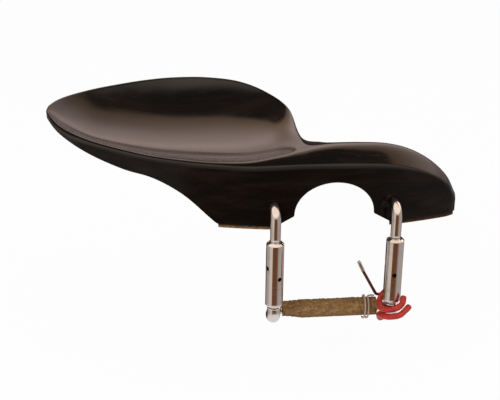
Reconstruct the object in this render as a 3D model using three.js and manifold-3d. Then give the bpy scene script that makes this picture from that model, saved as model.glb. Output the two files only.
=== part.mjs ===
// A violin chinrest of the kind that sits over the tailpiece: an ebony cup and bridge carved
// in one piece, cork under its two feet, and a screw clamp that grips the instrument's edge.
// Millimetres, +Z up. The rest is seen from the tail end: +X to the right, +Y towards the scroll.
// The origin is midway between the two clamp posts, on the front face, at the instrument's edge.
import * as THREE from 'three';
import { mergeVertices } from 'three/addons/utils/BufferGeometryUtils.js';
import Module from 'manifold-3d';

const wasm = await Module();
wasm.setup();

// Carved body, seen from above
const cupReach = 86.4;
const wingReach = 39;
const cupDepth = 71.6;
const plateDepth = 28.6;
const frontRadius = 118;
const frontCentre = -2.9;

// Carved body, heights and walls
const frontHeight = 20.4;
const rimHeight = 28.7;
const dishDepth = 8.4;
const domeRise = 4.3;
const hullWall = 5.5;
const edgeRadius = 1.1;
const rimInset = 2.6;
const rimRound = 2.2;

// Feet, and the arch that the tailpiece passes through
const footDepth = 13;
const footReach = 34.6;
const footFlare = 9;
const corkThickness = 1.2;
const corkInset = 0.5;
const archWidth = 24.2;
const archRise = 10.3;
const archSpring = 4.6;
const archMouth = 24.7;
const archCorner = 4.2;
const chamferReach = 17.3;

// Upper posts, hooked into the front face
const postSpacing = 36.5;
const postStandoff = 3.2;
const postDiameter = 3.2;
const hookHeight = 7.7;
const hookBend = 3.6;
const hookDepth = 8.4;
const holeEnd = 0.8;
const rodChamfer = 0.5;

// Turnbuckle barrels
const barrelDrop = 2.1;
const barrelLength = 21.3;
const barrelDiameter = 5.4;
const barrelChamfer = 0.6;
const postEngagement = 2.9;
const threadEndGap = 1.9;
const keyHole = 1.3;
const upperHoleDrop = 8.1;
const lowerHoleDrop = 11.4;
const leftHoleTurn = THREE.MathUtils.degToRad(28);
const rightHoleTurn = THREE.MathUtils.degToRad(-6);

// Lower bracket, bent from one rod, with its cork wrap
const shoulderGap = 0.3;
const elbowDiameter = 4.1;
const elbowDrop = 4.8;
const bracketBend = 3;
const shoulderRound = 0.4;
const barDiameter = 2.8;
const taperShare = 0.4;
const wrapInset = 3.2;
const wrapThickness = 1.05;
const wrapLap = 0.3;

// Clamp key, bent from wire and laid along the top of the bar
const keyDiameter = 1;
const keyArm = 6;
const keyBend = 1.2;
const keyShaft = 13.4;
const keyOverhang = 0.05;
const keyBack = 1.1;
const keyRise = 3.5;
const keyLean = THREE.MathUtils.degToRad(61);
const keyTilt = THREE.MathUtils.degToRad(4);

// Thread wound round the bar's cork, with a tail that runs to the key
const threadDiameter = 0.6;
const threadTurns = 1.5;
const threadInset = 4.45;
const threadTail = 2.2;
const threadSlack = 0.2;

// Tie wound round the bracket's right elbow and the key's arm. Its two free ends are led across
// the elbow's front, through these points, measured from where the right leg's axis meets the
// height of the bar. Between them it goes round the elbow, at shares of its reach on each side:
// towards the inside of the bend, and up.
const tieDiameter = 1.5;
const tieRoom = 0.35;
const upperEndRoute = [
  [3.25, -2.1, 7.5], [2.65, -3.3, 5.5], [1.25, -3.75, 4.3], [-0.6, -3.45, 3.55],
  [-2.25, -2.4, 3.0], [-3.15, -0.6, 2.7], [-3.1, 1.2, 2.75],
];
const lowerEndRoute = [
  [-2.55, 3.2, -2.45], [-3.1, 1.6, -0.6], [-3.15, -0.5, 0.3], [-2.5, -2.9, 1.0],
  [-0.6, -4.95, 1.9], [1.7, -5.0, 2.4], [3.5, -3.7, 3.0], [5.35, -2.1, 3.8],
];
const tieLoopShares = [
  [0.92, 0.66], [0.42, 0.98], [-0.3, 1.04], [-0.9, 0.94], [-1.03, 0.42],
  [-0.95, -0.32], [-0.6, -0.88], [0, -1.06], [0.62, -0.96],
];
const windingGap = 0.45;
const farAlong = 3;

// Fits: what turns, slides or is pushed in has this much room round it
const runningGap = 0.3;
const overrun = 2;

// Where the bar lies: two bends behind the posts, and below the barrels' lower ends
const barrelEnd = -barrelDrop - barrelLength;
const barBack = 2 * bracketBend - postStandoff;
const barLevel = barrelEnd - elbowDrop;
const wrapReach = postSpacing / 2 - wrapInset;

// Facets
const stationSteps = 60;
const edgeSteps = 2;
const acrossSteps = 17;
const hullSteps = 6;
const footSteps = 6;
const rimSteps = 4;
const corkSteps = 8;
const searchSteps = 50;
const rodSides = 16;
const barrelSides = 36;
const holeSides = 12;
const wireSides = 8;
const bendSteps = 6;
const turnSteps = 32;
const threadSteps = 48;
const tieSteps = 72;

// Stations of the carved body, from the left tip to the right end, as shares of the sizes above.
// Each row has: front edge and back edge along x (of cupReach or wingReach), back edge along y
// (of cupDepth or plateDepth), front edge and crest heights (of frontHeight), back rim height
// (of rimHeight), hollow (of dishDepth, or less than zero and of domeRise), lower front edge (of
// frontHeight), wall (of hullWall), how far the front edge turns in (of cupDepth or plateDepth),
// and how far behind it the crest lies (of rimInset).
const cupStationShares = [
  [-1.0, -1.0, 0.548, 1.315, 1.325, 0.942, 0.01, 1.29, 0.14, 0.125, 1.0],
  [-0.991, -0.993, 0.622, 1.265, 1.285, 0.962, 0.12, 1.235, 0.34, 0.078, 1.0],
  [-0.945, -0.947, 0.716, 1.15, 1.19, 0.985, 0.38, 1.105, 0.58, 0.022, 1.0],
  [-0.852, -0.85, 0.818, 1.059, 1.098, 1.0, 0.74, 0.922, 0.8, 0.002, 0.9],
  [-0.729, -0.734, 0.905, 0.995, 1.034, 1.002, 0.93, 0.762, 0.95, 0, 0.85],
  [-0.619, -0.625, 0.967, 0.956, 0.993, 1.002, 1.0, 0.675, 1.0, 0, 0.8],
  [-0.515, -0.515, 1.0, 0.946, 0.98, 1.0, 1.0, 0.455, 1.0, 0, 0.8],
  [-0.407, -0.388, 0.996, 0.941, 0.978, 0.995, 0.94, 0.105, 1.0, 0, 0.85],
  [-0.289, -0.262, 0.942, 0.94, 0.994, 0.975, 0.82, 0, 1.0, 0, 1.2],
  [-0.191, -0.162, 0.82, 0.966, 1.059, 0.925, 0.62, 0, 1.0, 0, 1.85],
  [-0.122, -0.092, 0.64, 0.985, 1.125, 0.845, 0.28, 0, 1.0, 0, 2.4],
];
const plateStationShares = [
  [-0.064, -0.068, 1.12, 0.985, 1.145, 0.65, -0.32, 0, 0.91, 0, 2.65],
  [0.038, 0, 1.0, 0.98, 1.095, 0.622, -0.64, 0, 0.82, 0, 2.9],
  [0.256, 0.244, 0.984, 0.96, 1.07, 0.6, -0.72, 0, 0.82, 0, 3.1],
  [0.449, 0.462, 0.942, 0.916, 1.015, 0.575, -0.79, 0, 0.82, 0, 3.1],
  [0.628, 0.654, 0.858, 0.83, 0.912, 0.515, -0.78, 0, 0.82, 0, 2.9],
  [0.795, 0.821, 0.726, 0.688, 0.748, 0.42, -0.65, 0, 0.82, 0, 2.3],
  [0.933, 0.944, 0.578, 0.493, 0.518, 0.305, -0.45, 0, 0.82, 0, 1.6],
  [1.0, 1.003, 0.426, 0.275, 0.275, 0.192, -0.085, 0, 0.47, 0.056, 1.0],
];
const bowlPower = 2.2;
const ridgeShare = 0.33;
const ridgeRound = 0.12;
const hollowBlend = 1.5;
const acrossPower = 1.35;
const footShare = 0.72;
const rimShare = 0.2;
const crestRound = 0.2;
const insetShare = 0.25;
const rimDropShare = 0.45;

// Materials
const ebony = new THREE.MeshStandardMaterial({ color: 0x1c1714, roughness: 0.32, metalness: 0 });
const cork = new THREE.MeshStandardMaterial({ color: 0xa9793f, roughness: 0.9, metalness: 0 });
const barCork = new THREE.MeshStandardMaterial({ color: 0x836038, roughness: 0.92, metalness: 0 });
const nickel = new THREE.MeshStandardMaterial({ color: 0xc9c2bd, roughness: 0.18, metalness: 1 });
const steel = new THREE.MeshStandardMaterial({ color: 0xa8a29c, roughness: 0.3, metalness: 1 });
const paleThread = new THREE.MeshStandardMaterial({ color: 0xe3d6cf, roughness: 0.6, metalness: 0 });
const redTie = new THREE.MeshStandardMaterial({ color: 0xb4211a, roughness: 0.45, metalness: 0 });

// Turning a closed geometry into a solid for cutting, and back
function toSolid(geometry) {
  const bare = geometry.clone();
  bare.deleteAttribute('normal');
  bare.deleteAttribute('uv');
  const merged = mergeVertices(bare);
  return new wasm.Manifold(new wasm.Mesh({
    numProp: 3,
    vertProperties: new Float32Array(merged.attributes.position.array),
    triVerts: new Uint32Array(merged.index.array),
  }));
}

function toGeometry(solid) {
  const mesh = solid.getMesh();
  const geometry = new THREE.BufferGeometry();
  geometry.setAttribute('position', new THREE.BufferAttribute(mesh.vertProperties, 3));
  geometry.setIndex(new THREE.BufferAttribute(mesh.triVerts, 1));
  geometry.computeVertexNormals();
  return geometry;
}

function cut(geometry, cutters) {
  let solid = toSolid(geometry);
  for (const cutter of cutters) {
    solid = solid.subtract(toSolid(cutter));
  }
  return toGeometry(solid);
}

// A closed skin over rings of points: each ring is joined to the next, and the first and last
// are closed by a fan. Rings run anticlockwise as seen from the far end of the row.
function skin(rings) {
  const count = rings[0].length;
  const points = rings.flat();
  const index = [];
  for (let ring = 0; ring < rings.length - 1; ring += 1) {
    for (let k = 0; k < count; k += 1) {
      const a = ring * count + k;
      const b = ring * count + ((k + 1) % count);
      index.push(a, b, b + count, a, b + count, a + count);
    }
  }
  const start = points.length;
  const end = start + 1;
  const lastRing = (rings.length - 1) * count;
  points.push(middle(rings[0]), middle(rings[rings.length - 1]));
  for (let k = 0; k < count; k += 1) {
    const next = (k + 1) % count;
    index.push(start, next, k, end, lastRing + k, lastRing + next);
  }
  const geometry = new THREE.BufferGeometry().setFromPoints(points);
  geometry.setIndex(index);
  geometry.computeVertexNormals();
  return geometry;
}

function middle(points) {
  const sum = points.reduce((total, point) => total.add(point), new THREE.Vector3());
  return sum.divideScalar(points.length);
}

const left = new THREE.Vector3(-1, 0, 0);
const right = new THREE.Vector3(1, 0, 0);
const away = new THREE.Vector3(0, 1, 0);
const up = new THREE.Vector3(0, 0, 1);
const down = new THREE.Vector3(0, 0, -1);

// A round rod along a row of centre points, with a radius at each. The rings are carried along
// without twist, so bends in any plane join smoothly.
function rod(centres, radii, sides) {
  const rings = [];
  let across = null;
  centres.forEach((centre, k) => {
    const before = centres[Math.max(k - 1, 0)];
    const after = centres[Math.min(k + 1, centres.length - 1)];
    const ahead = after.clone().sub(before).normalize();
    if (across === null) {
      across = Math.abs(ahead.z) < Math.SQRT1_2 ? up.clone() : away.clone();
    }
    across = across.clone().addScaledVector(ahead, -across.dot(ahead)).normalize();
    const side = ahead.clone().cross(across);
    const ring = [];
    for (let n = 0; n < sides; n += 1) {
      const turn = (2 * Math.PI * n) / sides;
      ring.push(centre.clone()
        .addScaledVector(across, radii[k] * Math.cos(turn))
        .addScaledVector(side, radii[k] * Math.sin(turn)));
    }
    rings.push(ring);
  });
  return skin(rings);
}

// The arc of a bend at a corner, between the direction that arrives and the one that leaves
function bend(corner, arriving, leaving, radius) {
  const angle = arriving.angleTo(leaving);
  const inward = leaving.clone().addScaledVector(arriving, -arriving.dot(leaving)).normalize();
  const pivot = corner.clone()
    .addScaledVector(arriving, -radius * Math.tan(angle / 2))
    .addScaledVector(inward, radius);
  const points = [];
  for (let k = 0; k <= bendSteps; k += 1) {
    const turn = angle * (k / bendSteps);
    points.push(pivot.clone()
      .addScaledVector(inward, -radius * Math.cos(turn))
      .addScaledVector(arriving, radius * Math.sin(turn)));
  }
  return points;
}

// The front face follows the outline of the instrument's lower bout
function frontLine(x) {
  return (x - frontCentre) ** 2 / (2 * frontRadius);
}

// The carved body: sections from front to back are lofted through the stations
const columns = ['front', 'back', 'depth', 'edge', 'crest', 'rim', 'hollow', 'belly', 'wall', 'turnIn', 'inset'];

function stationSizes(row, depth, hollow) {
  const reach = (share) => share * (share < 0 ? cupReach : wingReach);
  const heights = [frontHeight, frontHeight, rimHeight, hollow, frontHeight];
  const units = [null, null, depth, ...heights, hullWall, depth, rimInset];
  return row.map((share, k) => (units[k] === null ? reach(share) : share * units[k]));
}

const stations = [
  ...cupStationShares.map((row) => stationSizes(row, cupDepth, dishDepth)),
  ...plateStationShares.map((row) => stationSizes(row, plateDepth, domeRise)),
];
const lastStation = stations.length - 1;

// A smooth curve through one column of the stations, at a place counted in stations
function along(column, place) {
  const k = Math.min(Math.floor(place), lastStation - 1);
  const f = place - k;
  const b = stations[k][column];
  const c = stations[k + 1][column];
  const a = k > 0 ? stations[k - 1][column] : 2 * b - c;
  const d = k + 2 <= lastStation ? stations[k + 2][column] : 2 * c - b;
  return (2 * b + (c - a) * f + (2 * a - 5 * b + 4 * c - d) * f * f + (3 * b - a - 3 * c + d) * f ** 3) / 2;
}

function stationAt(place) {
  const at = {};
  columns.forEach((name, k) => {
    at[name] = along(k, place);
  });
  const front = new THREE.Vector2(at.front, frontLine(at.front) + at.turnIn);
  const back = new THREE.Vector2(at.back, at.depth);
  at.belly = Math.max(at.belly, corkThickness);
  at.width = front.distanceTo(back);
  at.flat = at.width - Math.min(rimRound, rimShare * at.width);
  at.foot = Math.min(footDepth, footShare * at.width);
  at.point = (w, z) => {
    const spot = front.clone().lerp(back, w / at.width);
    return new THREE.Vector3(spot.x, spot.y, z);
  };
  return at;
}

// The place, in stations, whose front edge lies at x
function placeOfFront(x) {
  let low = 0;
  let high = lastStation;
  for (let k = 0; k < searchSteps; k += 1) {
    const half = (low + high) / 2;
    if (along(0, half) < x) {
      low = half;
    } else {
      high = half;
    }
  }
  return low;
}

// The plate's rounded ridge across a section: nothing at both edges and one at its highest
function ridgeAt(share) {
  const roof = (place) => Math.hypot(place - ridgeShare, ridgeRound);
  const chord = (place) => (1 - place) * roof(0) + place * roof(1);
  return (chord(share) - roof(share)) / (chord(ridgeShare) - roof(ridgeShare));
}

// A size where it is above zero and nothing where it is below, with a hyperbola between
function oneSided(size, blend) {
  return (size + Math.hypot(size, blend)) / 2;
}

// Height of the top: a straight slope from the front edge up to a crest, then the cup's hollow
// or the plate's ridge. The hollow's size falls below zero where the plate begins, and each
// takes its own side of it.
function topHeight(at, w) {
  const share = w / at.width;
  const blend = crestRound * at.inset;
  const pastCrest = (place) => oneSided(place - at.inset, blend);
  const across = (pastCrest(w) - pastCrest(0)) / (pastCrest(at.width) - pastCrest(0));
  const bowl = 1 - Math.abs(2 * across - 1) ** bowlPower;
  const crown = at.crest + (at.rim - at.crest) * share;
  const step = oneSided(at.inset - w, blend) / oneSided(at.inset, blend);
  const shaped = oneSided(-at.hollow, hollowBlend) * ridgeAt(share) - oneSided(at.hollow, hollowBlend) * bowl;
  return crown + shaped - (at.crest - at.edge) * step;
}

// How far the back rim's rounding draws its top down and its underside up
function rimDrop(at, w) {
  const q = Math.max(0, (w - at.flat) / (at.width - at.flat));
  return rimDropShare * at.wall * (1 - Math.sqrt(Math.max(0, 1 - q * q)));
}

// One section, from the front edge over the top and the back rim, then along the underside
// of the hull and down the back of the foot to the lower front edge
function bodySection(place) {
  const at = stationAt(place);
  const hull = (w) => topHeight(at, w) - at.wall + rimDrop(at, w);
  const radius = Math.min(edgeRadius, (at.edge - at.belly) / 2, rimShare * at.width);
  const ring = [];
  for (let k = 0; k <= edgeSteps; k += 1) {
    const turn = (Math.PI / 2) * (k / edgeSteps);
    const w = radius * (1 - Math.cos(turn));
    ring.push(at.point(w, topHeight(at, w) - radius * (1 - Math.sin(turn))));
  }
  for (let k = 1; k <= acrossSteps; k += 1) {
    const w = radius + (at.flat - radius) * (k / acrossSteps) ** acrossPower;
    ring.push(at.point(w, topHeight(at, w)));
  }
  for (let k = 1; k <= rimSteps; k += 1) {
    const w = at.flat + (at.width - at.flat) * Math.sin((Math.PI / 2) * (k / rimSteps));
    ring.push(at.point(w, topHeight(at, w) - rimDrop(at, w)));
  }
  for (let k = rimSteps; k >= 0; k -= 1) {
    const w = at.flat + (at.width - at.flat) * Math.sin((Math.PI / 2) * (k / rimSteps));
    ring.push(at.point(w, hull(w)));
  }
  const flare = Math.min(footFlare, at.flat - at.foot);
  for (let k = 1; k <= hullSteps; k += 1) {
    const w = at.flat + (at.foot + flare - at.flat) * (k / hullSteps);
    ring.push(at.point(w, hull(w)));
  }
  for (let k = 1; k <= footSteps; k += 1) {
    const w = at.foot + flare * (1 - k / footSteps);
    const blend = THREE.MathUtils.smoothstep(w, at.foot, at.foot + flare);
    ring.push(at.point(w, at.belly + (hull(w) - at.belly) * blend));
  }
  ring.push(at.point(0, at.belly));
  return ring.reverse();
}

function loftedBody() {
  const rings = [];
  for (let k = 0; k <= stationSteps; k += 1) {
    rings.push(bodySection(lastStation * (k / stationSteps)));
  }
  return skin(rings);
}

// The arch over the tailpiece, with a chamfer that runs down to each foot
function archCutter() {
  const shape = new THREE.Shape();
  shape.moveTo(-chamferReach, -overrun);
  shape.lineTo(-chamferReach, corkThickness);
  shape.lineTo(-archMouth / 2, archCorner);
  shape.absellipse(0, archSpring, archWidth / 2, archRise, Math.PI, 0, true);
  shape.lineTo(archMouth / 2, archCorner);
  shape.lineTo(chamferReach, corkThickness);
  shape.lineTo(chamferReach, -overrun);
  shape.closePath();
  const depth = cupDepth + overrun;
  const geometry = new THREE.ExtrudeGeometry(shape, { depth, bevelEnabled: false, curveSegments: turnSteps });
  return geometry.rotateX(Math.PI / 2).translate(0, depth - overrun, 0);
}

// A round cutter along Y whose flats lie at the given radius
function roundCutter(radius, length, sides) {
  const corner = radius / Math.cos(Math.PI / sides);
  return new THREE.CylinderGeometry(corner, corner, length, sides);
}

const postPlaces = [-postSpacing / 2, postSpacing / 2];

// Blind holes in the front face for the hooked ends of the two posts
function postHole(x) {
  const face = frontLine(x);
  const length = hookDepth + holeEnd + overrun;
  return roundCutter(postDiameter / 2 + runningGap, length, rodSides)
    .translate(x, face + hookDepth + holeEnd - length / 2, hookHeight);
}

const chinrestBody = cut(loftedBody(), [archCutter(), ...postPlaces.map(postHole)]);

// Cork under a foot: it follows the foot's outline and stops where the arch's chamfer begins
function footCork(from, to) {
  const rings = [];
  for (let k = 0; k <= corkSteps; k += 1) {
    const at = stationAt(from + (to - from) * (k / corkSteps));
    const back = at.foot - Math.min(corkInset, insetShare * at.foot);
    rings.push([at.point(0, corkThickness), at.point(0, 0), at.point(back, 0), at.point(back, corkThickness)]);
  }
  return cut(skin(rings), [archCutter()]);
}

const leftFootCork = footCork(placeOfFront(-footReach), placeOfFront(overrun - chamferReach));
const rightFootCork = footCork(placeOfFront(chamferReach - overrun), lastStation);

// An upper post: a threaded end down in the barrel, a straight, and a hook into the wood
function upperPost(x) {
  const radius = postDiameter / 2;
  const low = new THREE.Vector3(x, -postStandoff, -barrelDrop - postEngagement);
  const corner = new THREE.Vector3(x, -postStandoff, hookHeight);
  const end = new THREE.Vector3(x, frontLine(x) + hookDepth, hookHeight);
  const centres = [
    low,
    low.clone().addScaledVector(up, rodChamfer),
    ...bend(corner, up, away, hookBend),
    end.clone().addScaledVector(away, -rodChamfer),
    end,
  ];
  const radii = centres.map((_, k) => (k === 0 || k === centres.length - 1 ? radius - rodChamfer : radius));
  return rod(centres, radii, rodSides);
}

// A turnbuckle barrel: a tube with chamfered ends and two key holes drilled across each other
function barrel(x, turn) {
  const outer = barrelDiameter / 2;
  const bore = (postDiameter / 2 + runningGap) / Math.cos(Math.PI / barrelSides);
  const profile = [
    new THREE.Vector2(bore, 0),
    new THREE.Vector2(outer - barrelChamfer, 0),
    new THREE.Vector2(outer, barrelChamfer),
    new THREE.Vector2(outer, barrelLength - barrelChamfer),
    new THREE.Vector2(outer - barrelChamfer, barrelLength),
    new THREE.Vector2(bore, barrelLength),
    new THREE.Vector2(bore, 0),
  ];
  const tube = new THREE.LatheGeometry(profile, barrelSides).rotateX(Math.PI / 2);
  const holes = [upperHoleDrop, lowerHoleDrop].map((drop, k) => (
    roundCutter(keyHole / 2, barrelDiameter + overrun, holeSides)
      .rotateZ(turn - (1 - k) * (Math.PI / 2))
      .translate(0, 0, barrelLength - drop)
  ));
  return cut(tube, holes).translate(x, -postStandoff, barrelEnd);
}

// The lower bracket: legs that screw into the barrels, elbows that turn in under the
// instrument's back, and the bar between them, all bent from one rod
function lowerBracket() {
  const thread = postDiameter / 2;
  const elbow = elbowDiameter / 2;
  const bar = barDiameter / 2;
  const x = postSpacing / 2;
  const legTop = new THREE.Vector3(-x, -postStandoff, -barrelDrop - postEngagement - threadEndGap);
  const shoulder = new THREE.Vector3(-x, -postStandoff, barrelEnd - shoulderGap);
  const heel = new THREE.Vector3(-x, -postStandoff, barLevel);
  const toe = new THREE.Vector3(-x, barBack, barLevel);
  const lastBend = bend(toe, away, right, bracketBend).slice(1);
  const thinned = (k) => THREE.MathUtils.smoothstep((k + 1) / bendSteps, taperShare, 1);
  const half = [
    [legTop, thread - rodChamfer],
    [legTop.clone().addScaledVector(down, rodChamfer), thread],
    [shoulder, thread],
    [shoulder, elbow - shoulderRound],
    [shoulder.clone().addScaledVector(down, shoulderRound), elbow],
    ...bend(heel, down, away, bracketBend).map((point) => [point, elbow]),
    ...lastBend.map((point, k) => [point, elbow + (bar - elbow) * thinned(k)]),
  ];
  const mirrored = half.map(([point, radius]) => [point.clone().multiply(new THREE.Vector3(-1, 1, 1)), radius]);
  const whole = [...half, ...mirrored.reverse()];
  return rod(whole.map(([point]) => point), whole.map(([, radius]) => radius), rodSides);
}

// Cork rolled round the bar: its outer end laps over the inner one and leaves a small step
function barWrap() {
  const inner = barDiameter / 2 + runningGap;
  const shape = new THREE.Shape();
  for (let k = 0; k <= turnSteps; k += 1) {
    const turn = (2 * Math.PI * k) / turnSteps;
    const radius = inner + wrapThickness + wrapLap * (k / turnSteps);
    shape[k === 0 ? 'moveTo' : 'lineTo'](radius * Math.cos(turn), radius * Math.sin(turn));
  }
  shape.closePath();
  const bore = new THREE.Path().absarc(0, 0, inner / Math.cos(Math.PI / turnSteps), 0, 2 * Math.PI);
  shape.holes.push(bore);
  const geometry = new THREE.ExtrudeGeometry(shape, {
    depth: 2 * wrapReach, bevelEnabled: false, curveSegments: turnSteps / 2,
  });
  return geometry.rotateY(Math.PI / 2).translate(-wrapReach, barBack, barLevel);
}

const wrapOuter = barDiameter / 2 + runningGap + wrapThickness + wrapLap;

// A clamp key: a wire with a short arm along the bar and a long shaft that leans up from it
function clampKey() {
  const radius = keyDiameter / 2;
  const corner = new THREE.Vector3(wrapReach + keyOverhang, barBack + keyBack, barLevel + keyRise);
  const leaving = new THREE.Vector3(
    -Math.cos(keyLean) * Math.cos(keyTilt),
    Math.sin(keyTilt),
    Math.sin(keyLean) * Math.cos(keyTilt),
  );
  const armEnd = corner.clone().addScaledVector(right, keyArm);
  const tip = corner.clone().addScaledVector(leaving, keyShaft);
  const centres = [armEnd, ...bend(corner, left, leaving, keyBend), tip];
  return rod(centres, centres.map(() => radius), wireSides);
}

// The point of a winding round the bar: turned from the front, up over the top and round
function roundBar(x, turn, radius) {
  return new THREE.Vector3(x, barBack - radius * Math.cos(turn), barLevel + radius * Math.sin(turn));
}

// A smooth, evenly stepped line of centre points through a route
function smoothRoute(points, steps) {
  return new THREE.CatmullRomCurve3(points, false, 'centripetal').getSpacedPoints(steps);
}

// The least gap of a winding to itself: stretches that lie more than a few diameters apart
// along it are measured from point to point, less the diameter
function leastGap(centres, diameter) {
  const step = centres[0].distanceTo(centres[1]);
  const apart = Math.ceil(farAlong * diameter / step);
  let least = Infinity;
  for (let k = 0; k < centres.length; k += 1) {
    for (let n = k + apart; n < centres.length; n += 1) {
      least = Math.min(least, centres[k].distanceTo(centres[n]));
    }
  }
  return least - diameter;
}

// The thread: turns round the cork from the left, then a tail along its top to the key
function threadRoute() {
  const radius = wrapOuter + threadSlack + threadDiameter / 2;
  const pitch = threadDiameter + windingGap;
  const start = wrapReach - threadInset;
  const points = [];
  for (let k = 0; k <= threadSteps; k += 1) {
    const turns = threadTurns * (k / threadSteps);
    points.push(roundBar(start + pitch * turns, 2 * Math.PI * turns - Math.PI / 2, radius));
  }
  const last = points[points.length - 1];
  points.push(last.clone().addScaledVector(right, threadTail / 2).addScaledVector(away, threadTail / 4));
  points.push(last.clone().addScaledVector(right, threadTail).addScaledVector(away, threadTail / 8));
  return smoothRoute(points, 2 * threadSteps);
}

// The tie: one end crosses the elbow's front, goes over the bend and the key's arm and down
// behind them, and the other comes forward from underneath beside the leg
function tieRoute() {
  const diagonal = Math.SQRT1_2;
  const overKey = keyDiameter / 2 + tieRoom + tieDiameter / 2;
  const hug = elbowDiameter / 2 + tieRoom + tieDiameter / 2;
  const beyondKey = (keyBack + bracketBend * (1 - diagonal) + overKey) / diagonal;
  const heel = new THREE.Vector3(postSpacing / 2, -postStandoff, barLevel);
  const inward = new THREE.Vector3(-diagonal, -diagonal, 0);
  const bendMiddle = new THREE.Vector3(postSpacing / 2, barBack, barLevel)
    .addScaledVector(inward, bracketBend * (1 / diagonal - 1));
  const points = upperEndRoute.map((spot) => new THREE.Vector3(...spot).add(heel));
  tieLoopShares.forEach(([inside, high]) => {
    points.push(bendMiddle.clone()
      .addScaledVector(inward, inside * (inside > 0 ? hug : beyondKey))
      .addScaledVector(up, high * (high > 0 ? keyRise + overKey : hug)));
  });
  points.push(...lowerEndRoute.map((spot) => new THREE.Vector3(...spot).add(heel)));
  return smoothRoute(points, tieSteps);
}

function winding(route, diameter) {
  return rod(route, route.map(() => diameter / 2), wireSides);
}

const threadCentres = threadRoute();
const tieCentres = tieRoute();
console.log(`least gap of the thread to itself ${leastGap(threadCentres, threadDiameter).toFixed(2)} mm`);
console.log(`least gap of the tie to itself ${leastGap(tieCentres, tieDiameter).toFixed(2)} mm`);

// The assembly
function piece(name, geometry, material) {
  const mesh = new THREE.Mesh(geometry, material);
  mesh.name = name;
  return mesh;
}

const rest = new THREE.Group();
rest.add(
  piece('chinrest_body', chinrestBody, ebony),
  piece('left_foot_cork', leftFootCork, cork),
  piece('right_foot_cork', rightFootCork, cork),
);

const clamp = new THREE.Group();
clamp.add(
  piece('left_upper_post', upperPost(postPlaces[0]), nickel),
  piece('right_upper_post', upperPost(postPlaces[1]), nickel),
  piece('left_barrel', barrel(postPlaces[0], leftHoleTurn), nickel),
  piece('right_barrel', barrel(postPlaces[1], rightHoleTurn), nickel),
  piece('lower_bracket', lowerBracket(), nickel),
  piece('bar_cork', barWrap(), barCork),
);

const stowed = new THREE.Group();
stowed.add(
  piece('clamp_key', clampKey(), steel),
  piece('key_thread', winding(threadCentres, threadDiameter), paleThread),
  piece('bracket_tie', winding(tieCentres, tieDiameter), redTie),
);

const chinrest = new THREE.Group();
chinrest.add(rest, clamp, stowed);

export default chinrest;
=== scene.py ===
# A violin chinrest that stands over the tailpiece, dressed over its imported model.
# The file follows the object as it is put together: the studio first, then the carved body,
# its corks, the posts, the barrels, the lower bracket and what is stowed on it.
import math

import bpy
import numpy as np
from mathutils import Matrix, Vector


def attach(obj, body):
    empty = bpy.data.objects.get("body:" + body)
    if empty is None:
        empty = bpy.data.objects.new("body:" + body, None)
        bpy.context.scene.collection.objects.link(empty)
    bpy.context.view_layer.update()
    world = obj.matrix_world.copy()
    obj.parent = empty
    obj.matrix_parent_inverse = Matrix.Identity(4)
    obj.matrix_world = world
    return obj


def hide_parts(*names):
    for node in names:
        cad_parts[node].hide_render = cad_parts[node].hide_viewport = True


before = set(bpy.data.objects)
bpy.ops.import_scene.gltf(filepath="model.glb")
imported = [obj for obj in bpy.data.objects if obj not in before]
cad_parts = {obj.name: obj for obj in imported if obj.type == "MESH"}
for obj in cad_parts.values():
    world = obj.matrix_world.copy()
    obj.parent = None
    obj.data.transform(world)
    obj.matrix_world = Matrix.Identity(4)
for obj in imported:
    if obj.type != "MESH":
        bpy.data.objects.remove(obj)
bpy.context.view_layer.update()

# The studio: white to the camera, even soft light on the object, and for polished surfaces the
# room that they show, whose warm dark behind the camera is the brown stripe on the metal. The
# camera's place and turn were fitted to the photograph.
azimuth, elevation, roll = (math.radians(a) for a in (-6.530, 22.495, 0.702))
aim, distance = Vector((-0.025623, 0, 0.010360)), 0.320428
film_width, film_pixels, focal_pixels = 36, 500, 1085.71
away = Vector((math.sin(azimuth), -math.cos(azimuth), 0))
back = away * math.cos(elevation) + Vector((0, 0, math.sin(elevation)))
right = Vector((math.cos(azimuth), math.sin(azimuth), 0))
top = back.cross(right)
camera_right = right * math.cos(roll) + top * math.sin(roll)
camera_top = top * math.cos(roll) - right * math.sin(roll)
camera_data = bpy.data.cameras.new("camera")
camera_data.sensor_width = film_width
camera_data.lens = film_width * focal_pixels / film_pixels
camera_data.clip_start = 0.01
camera = bpy.data.objects.new("camera", camera_data)
bpy.context.scene.collection.objects.link(camera)
turned = Matrix((camera_right, camera_top, back)).transposed().to_4x4()
camera.matrix_world = Matrix.Translation(aim + back * distance) @ turned
bpy.context.scene.camera = camera
bpy.context.scene.view_settings.view_transform = "Standard"

world = bpy.data.worlds.new("studio")
bpy.context.scene.world = world
world.use_nodes = True
tree = world.node_tree
tree.nodes.clear()


def join(tree, kind, inputs=None, **settings):
    """Adds a node, sets its properties, and fills its sockets with values or links."""
    node = tree.nodes.new(kind)
    for name, value in settings.items():
        setattr(node, name, value)
    for socket, value in (inputs or {}).items():
        if isinstance(value, bpy.types.NodeSocket):
            tree.links.new(value, node.inputs[socket])
        else:
            node.inputs[socket].default_value = value
    return node


def blend_band(tree, value, low, high, low_to=0.0, high_to=1.0):
    """A smooth step of a value: low_to below low, high_to above high."""
    node = join(
        tree,
        "ShaderNodeMapRange",
        {"Value": value, "From Min": low, "From Max": high, "To Min": low_to, "To Max": high_to},
        interpolation_type="SMOOTHSTEP",
    )
    return node.outputs["Result"]


def reckon(tree, kind, *values):
    """A node of arithmetic over one or two values."""
    return join(tree, "ShaderNodeMath", dict(enumerate(values)), operation=kind).outputs[0]


def times(tree, first, *more):
    """The product of two or more values."""
    for value in more:
        first = reckon(tree, "MULTIPLY", first, value)
    return first


def plus(tree, a, b):
    """The sum of two values."""
    return reckon(tree, "ADD", a, b)


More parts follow.
